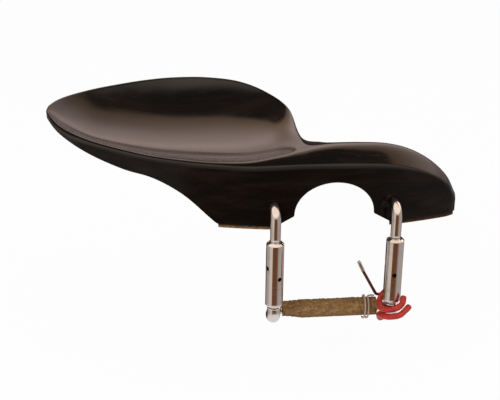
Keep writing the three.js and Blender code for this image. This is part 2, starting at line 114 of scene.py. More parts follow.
def mix_colour(tree, factor, a, b):
    """From the first colour to the second as the factor goes from nothing to one."""
    return join(tree, "ShaderNodeMix", {0: factor, 6: a, 7: b}, data_type="RGBA").outputs[2]


direction = join(tree, "ShaderNodeTexCoord").outputs["Generated"]
split = join(tree, "ShaderNodeSeparateXYZ", {0: direction})
across, depth, height = (split.outputs[axis] for axis in "XYZ")
# Seen by polished surfaces only: pale walls and floor, a brighter wall to the front left, a
# lamp-lit ceiling in front, a dark one overhead, a long window behind whose edge slants to the
# right, and the room in front.
to_left = blend_band(tree, across, -0.50, -0.60)
left_front = times(tree, to_left, blend_band(tree, depth, -0.05, -0.30))
seen = mix_colour(tree, left_front, (0.42, 0.37, 0.355, 1), (0.66, 0.58, 0.50, 1))
overhead = plus(tree, depth, times(tree, across, 0.40))
lamps_above = blend_band(tree, height, 0.25, 0.50)
lamps_above = times(tree, lamps_above, blend_band(tree, overhead, 0.28, 0.17))
seen = mix_colour(tree, lamps_above, seen, (1.1, 0.95, 0.82, 1))
ceiling = blend_band(tree, height, 0.10, 0.20)
ceiling = times(tree, ceiling, blend_band(tree, overhead, 0.17, 0.28))
seen = mix_colour(tree, ceiling, seen, (0.07, 0.055, 0.05, 1))
slant = plus(tree, depth, times(tree, across, 0.80))
window_edge, window_middle = (1.10, 0.70, 0.46, 1), (1.95, 1.48, 1.32, 1)
window = mix_colour(tree, blend_band(tree, slant, 0.57, 0.92), window_edge, window_middle)
window = mix_colour(tree, blend_band(tree, height, 0.26, 0.46, 0.50, 1.0), (0, 0, 0, 1), window)
pane = times(tree, blend_band(tree, slant, 0.545, 0.60), blend_band(tree, height, 0.10, 0.16))
seen = mix_colour(tree, pane, seen, window)
near_middle = blend_band(tree, reckon(tree, "ABSOLUTE", across), 0.68, 0.60)
behind, below = blend_band(tree, depth, 0.0, 0.15), blend_band(tree, height, 0.16, 0.08)
seen = mix_colour(tree, times(tree, behind, near_middle, below), seen, (0.045, 0.032, 0.026, 1))
sides = [blend_band(tree, across, *band) for band in ((-0.58, -0.49), (0.74, 0.24))]
levels = [blend_band(tree, height, *band) for band in ((0.30, 0.16), (-0.60, -0.52))]
room = times(tree, blend_band(tree, depth, -0.10, -0.22), *sides, *levels)
seen = mix_colour(tree, room, seen, (0.150, 0.060, 0.027, 1))
seen = mix_colour(tree, blend_band(tree, height, -0.48, -0.66), seen, (0.80, 0.77, 0.77, 1))
sharp = join(tree, "ShaderNodeBackground", {"Color": seen, "Strength": 1.0})
even = join(tree, "ShaderNodeBackground", {"Color": (1, 0.99, 0.98, 1), "Strength": 0.72})
plain = join(tree, "ShaderNodeBackground", {"Color": (1, 1, 1, 1), "Strength": 1.0})
ray = join(tree, "ShaderNodeLightPath").outputs


def mix_surface(tree, factor, a, b):
    """From the first surface or light to the second as the factor goes from nothing to one."""
    return join(tree, "ShaderNodeMixShader", {0: factor, 1: a.outputs[0], 2: b.outputs[0]})


lit = mix_surface(tree, ray["Is Glossy Ray"], even, sharp)
shown = mix_surface(tree, ray["Is Camera Ray"], lit, plain)
join(tree, "ShaderNodeOutputWorld", {0: shown.outputs[0]})


def lamp(name, at, towards, size, watts):
    """A soft lamp that polished surfaces don't show."""
    data = bpy.data.lights.new(name, "AREA")
    data.shape = "RECTANGLE"
    data.size, data.size_y = size
    data.energy = watts
    item = bpy.data.objects.new(name, data)
    bpy.context.scene.collection.objects.link(item)
    item.location = at
    item.rotation_euler = (Vector(towards) - Vector(at)).to_track_quat("-Z", "Y").to_euler()
    item.visible_glossy = False


lamp("window_lamp", (-0.45, -0.35, 0.42), (-0.02, 0.02, 0.0), (0.30, 0.30), 1.6)
lamp("fill_lamp", (0.50, -0.25, 0.25), (0.0, 0.0, 0.0), (0.25, 0.25), 0.6)

# The floor lies below the clamp's lowest place, so that the bracket never goes through it.
clamp_travel, lowest_point, floor_reach = 0.0145, -0.0335, 3
floor_mesh = bpy.data.meshes.new("floor")
corners = [(floor_reach * x, floor_reach * y) for x, y in ((-1, -1), (1, -1), (1, 1), (-1, 1))]
floor_level = lowest_point - clamp_travel
floor_mesh.from_pydata([(x, y, floor_level) for x, y in corners], [], [(0, 1, 2, 3)])
floor = bpy.data.objects.new("floor", floor_mesh)
bpy.context.scene.collection.objects.link(floor)
pale = bpy.data.materials.new("pale_floor")
pale.use_nodes = True
tree = pale.node_tree
tree.nodes.clear()
paint = join(tree, "ShaderNodeBsdfDiffuse", {"Color": (0.86, 0.86, 0.86, 1)})
white = join(tree, "ShaderNodeEmission", {"Color": (1, 1, 1, 1), "Strength": 1.0})
veil = times(tree, join(tree, "ShaderNodeLightPath").outputs["Is Camera Ray"], 0.95)
surface = mix_surface(tree, veil, paint, white)
join(tree, "ShaderNodeOutputMaterial", {0: surface.outputs[0]})
floor_mesh.materials.append(pale)
floor.visible_glossy = False

# The carved body: cup, plate and feet from one block of ebony. Every section runs from the
# front face over the crest into the hollow, round the back rim and home along the underside.
# The arch and the two post holes are cut into it, with their arrises eased.
cup_reach, wing_reach, cup_depth, plate_depth = 86.4, 39.0, 71.6, 28.6
front_height, rim_height, dish_depth, dome_rise, hull_wall = 20.4, 28.7, 8.4, 4.3, 5.5
edge_radius, rim_inset, rim_round = 1.1, 2.6, 1.4
crest_round, bowl_start, hollow_blend = 0.2, 0.32, 2.4
bowl_power, ridge_middle, ridge_round = 2.2, 0.33, 0.12
foot_depth, foot_share, foot_flare, cork_thickness = 13.0, 0.72, 9.0, 1.2
front_radius, front_centre = 118.0, -2.9
# Each row is a station: front edge and back edge along x (of the reach), back edge along y (of
# the depth), the heights of front edge and crest (of front_height) and of the back rim, the
# hollow or the ridge, the lower front edge, the wall, the front edge's turn in, the crest's inset.
cup_shares = [
    [-1.0, -1.0, 0.548, 1.315, 1.325, 0.942, 0.01, 1.29, 0.14, 0.125, 1.0],
    [-0.991, -0.993, 0.622, 1.265, 1.285, 0.962, 0.12, 1.235, 0.34, 0.078, 1.0],
    [-0.945, -0.947, 0.716, 1.15, 1.19, 0.985, 0.38, 1.105, 0.58, 0.022, 1.0],
    [-0.852, -0.85, 0.818, 1.059, 1.098, 1.0, 0.74, 0.922, 0.8, 0.002, 0.9],
    [-0.729, -0.734, 0.905, 0.995, 1.034, 1.002, 0.93, 0.762, 0.95, 0, 0.85],
    [-0.619, -0.625, 0.967, 0.956, 0.993, 1.002, 1.0, 0.675, 1.0, 0, 0.8],
    [-0.515, -0.515, 1.0, 0.946, 0.98, 1.0, 1.0, 0.455, 1.0, 0, 0.8],
    [-0.407, -0.388, 0.996, 0.941, 0.978, 0.995, 0.94, 0.062, 1.0, 0, 0.85],
    [-0.289, -0.262, 0.942, 0.94, 0.994, 0.975, 0.82, -0.3, 1.0, 0, 1.2],
    [-0.191, -0.162, 0.82, 0.966, 1.059, 0.925, 0.62, 0, 1.0, 0, 1.85],
    [-0.122, -0.092, 0.64, 0.985, 1.10, 0.845, 0.20, 0, 1.0, 0, 2.4],
]
plate_shares = [
    [-0.064, -0.068, 1.12, 0.985, 1.12, 0.65, -0.32, 0, 0.91, 0, 2.65],
    [0.038, 0, 1.0, 0.975, 1.1, 0.622, -0.64, 0, 0.82, 0, 2.9],
    [0.256, 0.244, 0.984, 0.953, 1.085, 0.6, -0.72, 0, 0.82, 0, 3.1],
    [0.449, 0.462, 0.942, 0.908, 1.032, 0.575, -0.79, 0, 0.82, 0, 3.1],
    [0.628, 0.654, 0.858, 0.822, 0.93, 0.515, -0.78, 0, 0.82, 0, 2.9],
    [0.795, 0.821, 0.726, 0.682, 0.763, 0.42, -0.65, 0, 0.82, 0, 2.3],
    [0.933, 0.944, 0.578, 0.49, 0.526, 0.305, -0.45, 0, 0.82, 0, 1.6],
    [1.012, 1.01, 0.426, 0.275, 0.275, 0.192, -0.085, 0, 0.47, 0.028, 1.0],
]


def station_sizes(shares, reach, depth, hollow):
    """Millimetres from shares: the first two columns by the reach, the rest by their own size."""
    heights = [front_height, front_height, rim_height, hollow, front_height]
    return np.array(shares, float) * [reach, reach, depth, *heights, hull_wall, depth, rim_inset]


plate_rows = station_sizes(plate_shares, wing_reach, plate_depth, dome_rise)
plate_rows[0, :2] *= cup_reach / wing_reach
station_rows = np.vstack([station_sizes(cup_shares, cup_reach, cup_depth, dish_depth), plate_rows])
last_station = len(station_rows) - 1


def along_stations(place):
    """Each column at a place counted in stations, on a uniform cubic through its four nearest
    rows. Past either end the last step is repeated."""
    before = 2 * station_rows[:1] - station_rows[1:2]
    after = 2 * station_rows[-1:] - station_rows[-2:-1]
    rows = np.vstack([before, station_rows, after])
    k = np.clip(np.floor(place).astype(int), 0, last_station - 1)
    f = (place - k)[:, None]
    a, b, c, d = (rows[k + n] for n in range(4))
    square, cube = 2 * a - 5 * b + 4 * c - d, 3 * b - a - 3 * c + d
    values = b + ((c - a) * f + square * f**2 + cube * f**3) / 2
    return [values[:, n : n + 1] for n in range(values.shape[1])]


def front_line(x):
    """The front face in plan: a parabola with the radius of the instrument's lower end."""
    return (x - front_centre) ** 2 / (2 * front_radius)


def smooth(x):
    """Zero to one with level ends: three times the square less twice the cube."""
    x = np.clip(x, 0, 1)
    return x * x * (3 - 2 * x)


def carved_sections(place):
    """A grid of points, one closed section a row. Across a section the top is the straight line
    from crest to rim, less the cup's hollow, which is one minus a power of the distance from the
    middle, or plus the plate's ridge, which is its chord less a hyperbola. In front of the crest
    it falls in a straight line to the front edge, and a hyperbola rounds the crest. The underside
    lies a wall below it, and flares with a smooth step into the foot."""
    columns = along_stations(place)
    front, back_x, back_y, edge, crest, rim, hollow, belly, wall, turn_in, inset = columns
    belly = np.maximum(belly, cork_thickness)
    start = np.stack([front, front_line(front) + turn_in], -1)
    end = np.stack([back_x, back_y], -1)
    width = np.linalg.norm(end - start, axis=-1)
    flat = width - np.minimum(rim_round, 0.2 * width)
    foot = np.minimum(foot_depth, foot_share * width)
    flare = np.minimum(foot_flare, flat - foot)
    radius = np.minimum(np.minimum(edge_radius, (edge - belly) / 2), 0.2 * width)

    def roof(share):
        return np.hypot(share - ridge_middle, ridge_round)

    def over_chord(share):
        return (1 - share) * roof(0) + share * roof(1) - roof(share)

    def one_sided(size, blend):
        return (size + np.hypot(size, blend)) / 2

    def past_crest(w):
        return one_sided(w - inset, bowl_start * inset)

    def top_at(w):
        across = (past_crest(w) - past_crest(0)) / (past_crest(width) - past_crest(0))
        bowl = 1 - np.abs(2 * across - 1) ** bowl_power
        ridge = over_chord(w / width) / over_chord(ridge_middle)
        shaped = one_sided(-hollow, hollow_blend) * ridge - one_sided(hollow, hollow_blend) * bowl
        step = one_sided(inset - w, crest_round * inset) / one_sided(inset, crest_round * inset)
        return crest + (rim - crest) * w / width + shaped - (crest - edge) * step

    def drop(w):
        q = np.clip((w - flat) / (width - flat), 0, 1)
        return 0.45 * wall * (1 - np.sqrt(np.maximum(1 - q * q, 0)))

    def under(w):
        return top_at(w) - wall + drop(w)

    one = np.ones_like(width)
    round_turn = np.linspace(0, np.pi / 2, 7)[None, :]
    w_edge = radius * (1 - np.cos(round_turn))
    z_edge = top_at(w_edge) - radius * (1 - np.sin(round_turn))
    w_top = radius + (flat - radius) * (np.linspace(0, 1, 145)[None, 1:] ** 1.2)
    z_top = top_at(w_top)
    w_rim = flat + (width - flat) * np.sin(np.linspace(0, np.pi / 2, 11)[None, 1:])
    z_rim = top_at(w_rim) - drop(w_rim)
    w_back = flat + (width - flat) * np.sin(np.linspace(np.pi / 2, 0, 11)[None, :])
    z_back = under(w_back)
    w_hull = flat + (foot + flare - flat) * np.linspace(0, 1, 25)[None, 1:]
    z_hull = under(w_hull)
    w_foot = foot + flare * np.linspace(1, 0, 15)[None, 1:]
    z_foot = belly + (under(w_foot) - belly) * smooth((w_foot - foot) / flare)
    w_sole = foot * np.linspace(1, 0, 7)[None, 1:]
    z_sole = belly * np.ones_like(w_sole)
    z_face = belly + (z_edge[:, :1] - belly) * np.linspace(0, 1, 13)[None, 1:-1]
    w_face = np.zeros_like(z_face)
    w = np.hstack([w_edge * one, w_top, w_rim, w_back, w_hull, w_foot, w_sole, w_face])
    z = np.hstack([z_edge, z_top, z_rim, z_back, z_hull, z_foot, z_sole, z_face])
    share = (w / width)[..., None]
    return np.concatenate([start * (1 - share) + end * share, z[..., None]], -1)


def closed_skin(name, grid):
    """A mesh over a grid of closed rings, in millimetres. The rings are joined with four-sided
    faces, the ends are closed by a fan, and the faces are turned to point outwards."""
    rings, around = grid.shape[:2]
    points = grid.reshape(-1, 3)
    i, j = np.meshgrid(np.arange(rings - 1), np.arange(around), indexing="ij")
    a, b = i * around + j, i * around + (j + 1) % around
    quads = np.stack([a, b, b + around, a + around], -1).reshape(-1, 4)
    n = len(points)
    points = np.vstack([points, grid[0].mean(0), grid[-1].mean(0)])
    j = np.arange(around)
    after = (j + 1) % around
    first = np.stack([np.full(around, n), after, j], -1)
    final = np.stack([np.full(around, n + 1), j + n - around, after + n - around], -1)
    faces = quads.tolist() + first.tolist() + final.tolist()
    mesh = bpy.data.meshes.new(name)
    mesh.from_pydata((points * 0.001).tolist(), [], faces)
    p = points[quads]
    volume = np.einsum("ij,ij->", p[:, 0], np.cross(p[:, 2], p[:, 3] - p[:, 1]))
    if volume < 0:
        mesh.flip_normals()
    item = bpy.data.objects.new(name, mesh)
    bpy.context.scene.collection.objects.link(item)
    return item


def finish_piece(item, material, body, node, crease=35):
    """Smooth faces with the real arrises kept sharp, then the material, the node and
    the body."""
    item.data.polygons.foreach_set("use_smooth", np.ones(len(item.data.polygons), bool))
    item.data.set_sharp_from_angle(angle=math.radians(crease))
    item.data.materials.clear()
    item.data.materials.append(material)
    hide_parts(node)
    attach(item, body)


def carve(item, cutters):
    """Cuts each closed shape out of a piece, keeps the result as the piece's mesh, and drops
    the shapes."""
    for cutter in cutters:
        cutter.hide_render = True
        cut = item.modifiers.new("cut", "BOOLEAN")
        cut.object = cutter
        cut.operation = "DIFFERENCE"
        cut.solver = "EXACT"
    bpy.context.view_layer.update()
    worked_out = item.evaluated_get(bpy.context.evaluated_depsgraph_get())
    carved = bpy.data.meshes.new_from_object(worked_out)
    item.modifiers.clear()
    old = item.data
    item.data = carved
    bpy.data.meshes.remove(old)
    for cutter in cutters:
        bpy.data.objects.remove(cutter)
    return item


body_places = np.linspace(0, last_station, 301)
chinrest_body = closed_skin("ebony_body", carved_sections(body_places))

arch_width, arch_rise, arch_spring = 24.2, 10.3, 4.6
arch_mouth, arch_corner, chamfer_reach, arch_relief = 24.7, 4.2, 17.3, 0.22
turn = np.linspace(np.pi, 0, 97)
arch_line = np.stack([arch_width / 2 * np.cos(turn), arch_spring + arch_rise * np.sin(turn)], -1)
mouth_side = [[-chamfer_reach, -2], [-chamfer_reach, cork_thickness], [-arch_mouth / 2, arch_corner]]
outline = np.vstack([mouth_side, arch_line, mouth_side[::-1] * np.array([-1, 1])])


def eased_cutter(name, outline, ease, deep, relief=0):
    """A shape cut through along y. Where it enters the front face it is wider by a quarter round:
    the offset falls from the radius to nothing while the depth grows by the radius. Its right
    side draws outwards by the relief for each millimetre of depth."""
    edge = np.roll(outline, -1, 0) - outline
    normal = np.stack([-edge[:, 1], edge[:, 0]], -1)
    normal = normal + np.roll(normal, 1, 0)
    normal /= np.linalg.norm(normal, axis=-1, keepdims=True)
    turn = np.linspace(0.06, np.pi / 2, 8)
    offset = np.concatenate([[ease * 1.02, ease * 1.02], ease * (1 - np.sin(turn)), [0.0]])
    behind = np.concatenate([[-6.0, -0.02], ease * (1 - np.cos(turn)), [deep]])
    flat = outline[None] + normal[None] * offset[:, None, None]
    flat[..., 0] += relief * smooth(outline[:, 0] / 6) * np.maximum(behind, 0)[:, None]
    y = front_line(outline[None, :, 0]) + behind[:, None]
    y[-1] = deep
    y[0] = -6
    return closed_skin(name, np.stack([flat[..., 0], y, flat[..., 1]], -1))


body_cutters = [eased_cutter("arch_cutter", outline, 0.35, cup_depth + 4, arch_relief)]
post_places = (-18.25, 18.25)
hook_height, hook_depth, post_diameter, seat_radius = 7.7, 8.4, 3.2, 1.68
turn = np.linspace(np.pi, -np.pi, 48, endpoint=False)
for x in post_places:
    hole = [x + seat_radius * np.cos(turn), hook_height + seat_radius * np.sin(turn)]
    bottom = front_line(x) + hook_depth + 0.8
    body_cutters.append(eased_cutter("hole_cutter", np.stack(hole, -1), 0.12, bottom))
carve(chinrest_body, body_cutters)


def new_material(name):
    """A material, its node tree, its surface shader and the place on the object."""
    material = bpy.data.materials.new(name)
    material.use_nodes = True
    tree = material.node_tree
    spot = join(tree, "ShaderNodeTexCoord").outputs["Object"]
    return material, tree, tree.nodes["Principled BSDF"], spot


def stretched(tree, spot, scale, **more):
    """The place, scaled along each axis and then turned."""
    return join(tree, "ShaderNodeMapping", {"Vector": spot, "Scale": scale, **more}).outputs[0]


def noise(tree, spot, scale, detail, **more):
    """A soft noise of the place, about one half on average."""
    sockets = {"Vector": spot, "Scale": scale, "Detail": detail, **more}
    return join(tree, "ShaderNodeTexNoise", sockets).outputs[0]


def raise_surface(tree, relief, strength, depth):
    """Tilts the surface as a relief of this depth would, in metres."""
    sockets = {"Height": relief, "Strength": strength, "Distance": depth}
    bump = join(tree, "ShaderNodeBump", sockets)
    tree.links.new(bump.outputs[0], tree.nodes["Principled BSDF"].inputs["Normal"])


ebony, tree, shader, spot = new_material("ebony")
grain = noise(tree, stretched(tree, spot, (22, 240, 240)), 1.0, 6.0, Roughness=0.62)
streak = blend_band(tree, grain, 0.42, 0.68)
colour = mix_colour(tree, streak, (0.0042, 0.0033, 0.0030, 1), (0.0105, 0.0068, 0.0052, 1))
tree.links.new(colour, shader.inputs["Base Color"])
pores = noise(tree, stretched(tree, spot, (130, 2400, 2400)), 1.0, 2.0, Roughness=0.5)
open_pores = blend_band(tree, pores, 0.60, 0.72)
polish = blend_band(tree, noise(tree, spot, 60.0, 4.0), 0.3, 0.7, 0.09, 0.14)
# The flat front face is oiled but not polished: there the depth behind the parabola is nothing.
axes = join(tree, "ShaderNodeSeparateXYZ", {0: spot})
from_centre = plus(tree, axes.outputs[0], -front_centre / 1000)
bowed = times(tree, from_centre, from_centre, -1000 / (2 * front_radius))
polished = blend_band(tree, plus(tree, axes.outputs[1], bowed), 0.0002, 0.0009)
rough = plus(tree, times(tree, open_pores, 0.10), polish)
tree.links.new(rough, shader.inputs["Roughness"])
tree.links.new(plus(tree, times(tree, polished, 0.28), 0.14), shader.inputs["Specular IOR Level"])
raise_surface(tree, reckon(tree, "SUBTRACT", times(tree, grain, 0.35), open_pores), 0.10, 0.00002)
finish_piece(chinrest_body, ebony, "chinrest", "chinrest_body", crease=28)

# The foot corks: a sheet of pressed cork under each foot, cut to the foot's outline and set back
# a hair from the wood. It is made of pale and brown grains with dark pits between them.
fronts = along_stations(body_places)[0][:, 0]
corks = [("left_foot_cork", -34.6, -15.3), ("right_foot_cork", 15.3, 39.0)]
cork_items = []
for name, first, final in corks:
    place = np.linspace(*np.interp([first, final], fronts, body_places), 61)
    front, back_x, back_y, turn_in = (along_stations(place)[k] for k in (0, 1, 2, 9))
    start = np.stack([front, front_line(front) + turn_in], -1)
    end = np.stack([back_x, back_y], -1)
    width = np.linalg.norm(end - start, axis=-1)
    deep = np.minimum(foot_depth, foot_share * width)
    deep = deep - np.minimum(0.5, 0.25 * deep)
    side = [cork_thickness - 0.01, 0.7, 0.12, 0.0]
    set_back = 0.07 * np.array([1, 1, 1, 1.6])
    w_ring = np.concatenate([np.zeros(4), np.linspace(0.1, 0.9, 7), np.ones(4)])
    inset = np.concatenate([set_back, np.zeros(7), -set_back[::-1]])
    w = deep * w_ring + inset
    z = np.concatenate([side, np.zeros(7), side[::-1]]) * np.ones_like(w)
    share = (w / width)[..., None]
    grid = np.concatenate([start * (1 - share) + end * share, z[..., None]], -1)
    item = closed_skin(name, grid)
    arch_cutter = eased_cutter("arch_cutter", outline, 0.1, cup_depth, arch_relief)
    cork_items.append(carve(item, [arch_cutter]))


def cork_material(name, pale_grain, brown_grain, pit, grain_size, squeeze, dark, painted_shade=False):
    """Pressed grains: each cell of a Voronoi pattern takes its own shade, its border sinks, and
    a finer noise leaves dark pits. Where asked, a painted shade under the wood darkens its upper
    half, and nearly all of it towards the right end."""
    material, tree, shader, spot = new_material(name)
    shake = join(tree, "ShaderNodeTexNoise", {"Vector": spot, "Scale": 900.0, "Detail": 3.0})
    shaken = {0: 0.0005, 4: spot, 5: shake.outputs["Color"]}
    moved = join(tree, "ShaderNodeMix", shaken, data_type="VECTOR").outputs[1]
    sized = stretched(tree, moved, squeeze)
    pattern = {"Vector": sized, "Scale": 1000.0 / grain_size}
    cells = join(tree, "ShaderNodeTexVoronoi", pattern).outputs["Color"]
    shade = join(tree, "ShaderNodeSeparateColor", {0: cells}).outputs[0]
    edges = join(tree, "ShaderNodeTexVoronoi", pattern, feature="DISTANCE_TO_EDGE")
    colour = mix_colour(tree, shade, pale_grain, brown_grain)
    seam = blend_band(tree, edges.outputs["Distance"], 0.10, 0.0)
    colour = mix_colour(tree, times(tree, seam, dark), colour, pit)
    fine = noise(tree, sized, 4200.0, 3.0, Roughness=0.7)
    specks = blend_band(tree, fine, 0.58, 0.70)
    colour = mix_colour(tree, times(tree, specks, 0.75), colour, pit)
    browner = blend_band(tree, noise(tree, spot, 170.0, 2.0), 0.35, 0.75, 0.0, 0.45)
    colour = mix_colour(tree, browner, colour, brown_grain)
    if painted_shade:
        # Painted shade: the cork's upper half, right under the wood, is painted near black, and nearly
        # all of it towards the right end.
        ragged = times(tree, noise(tree, spot, 800.0, 4.0), 0.0007)
        axes = join(tree, "ShaderNodeSeparateXYZ", {0: spot})
        to_right = blend_band(tree, axes.outputs[0], -0.030, 0.030, 0.0, 0.00055)
        level = plus(tree, plus(tree, axes.outputs[2], ragged), to_right)
        shade_band = blend_band(tree, level, 0.0006, 0.0014)
        colour = mix_colour(tree, times(tree, shade_band, 0.93), colour, (0.012, 0.006, 0.004, 1))
    tree.links.new(colour, shader.inputs["Base Color"])
    tree.links.new(blend_band(tree, fine, 0.3, 0.7, 0.72, 0.95), shader.inputs["Roughness"])
    relief = reckon(tree, "SUBTRACT", times(tree, shade, 0.4), seam)
    raise_surface(tree, reckon(tree, "SUBTRACT", relief, specks), 0.6, 0.00006)
    shader.inputs["Specular IOR Level"].default_value = 0.18
    return material


pale_grain, brown_grain, pit = (0.36, 0.20, 0.085, 1), (0.17, 0.085, 0.035, 1), (0.030, 0.014, 0.007, 1)
# The foot corks carry this painted shade under the wood.
cork = cork_material("cork", pale_grain, brown_grain, pit, 0.75, (1, 1, 1), 0.5, painted_shade=True)
for item, (name, *_) in zip(cork_items, corks):
    finish_piece(item, cork, "chinrest", name, crease=40)

# The upper posts: nickel rods with a fine thread in the barrel, a quarter bend above it, and a
# straight end pushed into the wood. The metal has drawn lines and faint wiping marks.
post_standoff, barrel_drop, post_engagement, hook_bend = 3.2, 2.1, 2.9, 3.6


def frames_along(path, first):
    """Two unit vectors across a path at each of its points: the first is carried along, with the
    part that lies along the path taken out at every step, so that it never twists."""
    ahead = np.gradient(path, axis=0)
    ahead /= np.linalg.norm(ahead, axis=-1, keepdims=True)
    across = np.empty_like(path)
    carried = np.array(first, float)
    for k, step in enumerate(ahead):
        carried = carried - step * (carried @ step)
        carried /= np.linalg.norm(carried)
        across[k] = carried
    return across, np.cross(ahead, across)


def swept(name, path, radii, first, sides=48):
    """A rod along a path: a closed ring lies across every point, at one radius, or at one radius
    for each side."""
    across, beside = frames_along(path, first)
    turn = np.linspace(0, 2 * np.pi, sides, endpoint=False)[None, :, None]
    radii = radii if radii.ndim == 2 else radii[:, None] * np.ones((1, sides))
    outwards = np.cos(turn) * across[:, None] + np.sin(turn) * beside[:, None]
    return closed_skin(name, path[:, None] + radii[..., None] * outwards)


def bend_at(corner, arriving, leaving, radius, steps=24):
    """Points round a bend: the circle that touches both runs, from one to the other."""
    corner, arriving, leaving = (np.array(v, float) for v in (corner, arriving, leaving))
    angle = np.arccos(np.clip(arriving @ leaving, -1, 1))
    inward = leaving - arriving * (arriving @ leaving)
    inward /= np.linalg.norm(inward)
    pivot = corner - arriving * radius * np.tan(angle / 2) + inward * radius
    turn = np.linspace(0, angle, steps + 1)[:, None]
    return pivot - inward * radius * np.cos(turn) + arriving * radius * np.sin(turn)


def run(start, end, steps):
    """Evenly spaced points on a straight run, both ends included."""
    return np.linspace(np.array(start, float), np.array(end, float), steps + 1)


def thread_cut(along, sides, hand, depth=0.26, pitch=0.5):
    """How deep a helical thread is cut at each ring and side: a triangle wave of the distance
    along, less or plus the share of a turn, once every pitch."""
    share = np.linspace(0, 1, sides, endpoint=False)[None, :]
    wave = np.abs(2 * ((along[:, None] / pitch - hand * share) % 1) - 1)
    return depth * wave


posts = []
post_rings = 84
for x, name in zip(post_places, ("left_upper_post", "right_upper_post")):
    low = -barrel_drop - post_engagement
    threaded = run((x, -post_standoff, low), (x, -post_standoff, -barrel_drop + 0.4), post_rings)
    arc = bend_at((x, -post_standoff, hook_height), (0, 0, 1), (0, 1, 0), hook_bend)
    far = front_line(x) + hook_depth
    ending = run((x, far - 0.5, hook_height), (x, far, hook_height), 4)
    straight = run(threaded[-1], arc[0], 6)
    path = np.vstack([threaded, straight[1:-1], arc, run(arc[-1], ending[0], 6)[1:-1], ending])
    radii = np.full((len(path), 48), post_diameter / 2)
    # The thread fades out at its upper end, and both ends of the rod are rounded.
    fade = np.clip(np.arange(post_rings, -1, -1) / 10, 0, 1)[:, None]
    radii[: post_rings + 1] -= thread_cut(threaded[:, 2], 48, -1) * fade
    radii[:15] -= 0.45 * (1 - np.arange(15) / 14)[:, None] ** 1.5
    radii[-5:] -= 0.5 * (np.arange(5) / 4)[:, None]
    posts.append((swept(name, path, radii, (0, 1, 0)), name))


def metal(name, colour, tarnish, smoothest, roughest, lines, scratch, shaded_inside=None, painted_reflection_below=None):
    """Polished metal: lines drawn along the work, scattered scratches, and a faint tarnish that
    follows a broad noise. Painted shade darkens it within a radius of the two posts' axes, between
    two levels, inside the barrels. Below another level it is painted brown as a painted reflection."""
    material, tree, shader, spot = new_material(name)
    dull = blend_band(tree, noise(tree, spot, 260.0, 5.0, Roughness=0.6), 0.48, 0.80)
    shade = mix_colour(tree, dull, colour, tarnish)
    x, y, z = join(tree, "ShaderNodeSeparateXYZ", {0: spot}).outputs
    # Painted shade inside the barrels: the threads and the walls of the bore and key holes within the
    # radius are painted dark.
    if shaded_inside:
        within, low, high = (size / 1000 for size in shaded_inside)
        beside = plus(tree, reckon(tree, "ABSOLUTE", x), -post_places[1] / 1000)
        before = plus(tree, y, post_standoff / 1000)
        squares = plus(tree, times(tree, beside, beside), times(tree, before, before))
        inside = blend_band(tree, reckon(tree, "SQRT", squares), within, within - 0.00005)
        for level, step in ((low, 0.0002), (high, -0.0002)):
            inside = times(tree, inside, blend_band(tree, z, level - step, level + step))
        shade = mix_colour(tree, times(tree, inside, 0.96), shade, (0.075, 0.055, 0.045, 1))
    # Painted reflection: below the level the colour is painted brown, as the warm room reflected.
    if painted_reflection_below:
        below = blend_band(tree, z, painted_reflection_below / 1000 + 0.0004, painted_reflection_below / 1000)
        shade = mix_colour(tree, below, shade, (0.20, 0.10, 0.058, 1))
    tree.links.new(shade, shader.inputs["Base Color"])
    fine = noise(tree, stretched(tree, spot, lines), 1.0, 2.0)
    turned = stretched(tree, spot, (260, 5200, 5200), Rotation=(0.5, 0.4, 0.3))
    marks = times(tree, blend_band(tree, noise(tree, turned, 1.0, 1.0), 0.64, 0.72), scratch)
    worn = plus(tree, times(tree, dull, 0.10), times(tree, marks, 0.12))
    rough = plus(tree, blend_band(tree, fine, 0.3, 0.7, smoothest, roughest), worn)
    tree.links.new(rough, shader.inputs["Roughness"])
    relief = plus(tree, times(tree, fine, 0.35), times(tree, marks, -1.0))
    raise_surface(tree, relief, 0.12, 0.00001)
    shader.inputs["Metallic"].default_value = 1.0
    return material


nickel = (0.80, 0.765, 0.74, 1), (0.62, 0.55, 0.49, 1)
# Painted shade lies on the threads inside the barrels: within this radius of the posts' axes, between
# these levels.
threads = (1.7, -23.6, -3.4)
drawn_nickel = metal("drawn_nickel", *nickel, 0.07, 0.13, (5200, 5200, 90), 0.5, threads)
for item, name in posts:
    finish_piece(item, drawn_nickel, "chinrest", name)

# The barrels: turned tubes with a cone at each end and two key holes drilled across each other,
# each hole with its arris taken off. Fine rings run round them from the lathe.
barrel_length, barrel_radius, bore_radius, barrel_chamfer = 21.3, 2.7, 1.9, 0.6
barrel_end = -barrel_drop - barrel_length


def turned_shape(name, axis_x, axis_y, profile, sides=96):
    """A solid of revolution about an upright axis: a ring at every radius and height."""
    turn = np.linspace(0, 2 * np.pi, sides, endpoint=False)[None, :, None]
    radius, level = (np.array(profile, float)[:, k, None, None] for k in (0, 1))
    flat = radius * np.concatenate([np.cos(turn), np.sin(turn)], -1) + [axis_x, axis_y]
    return closed_skin(name, np.concatenate([flat, level * np.ones_like(turn)], -1))


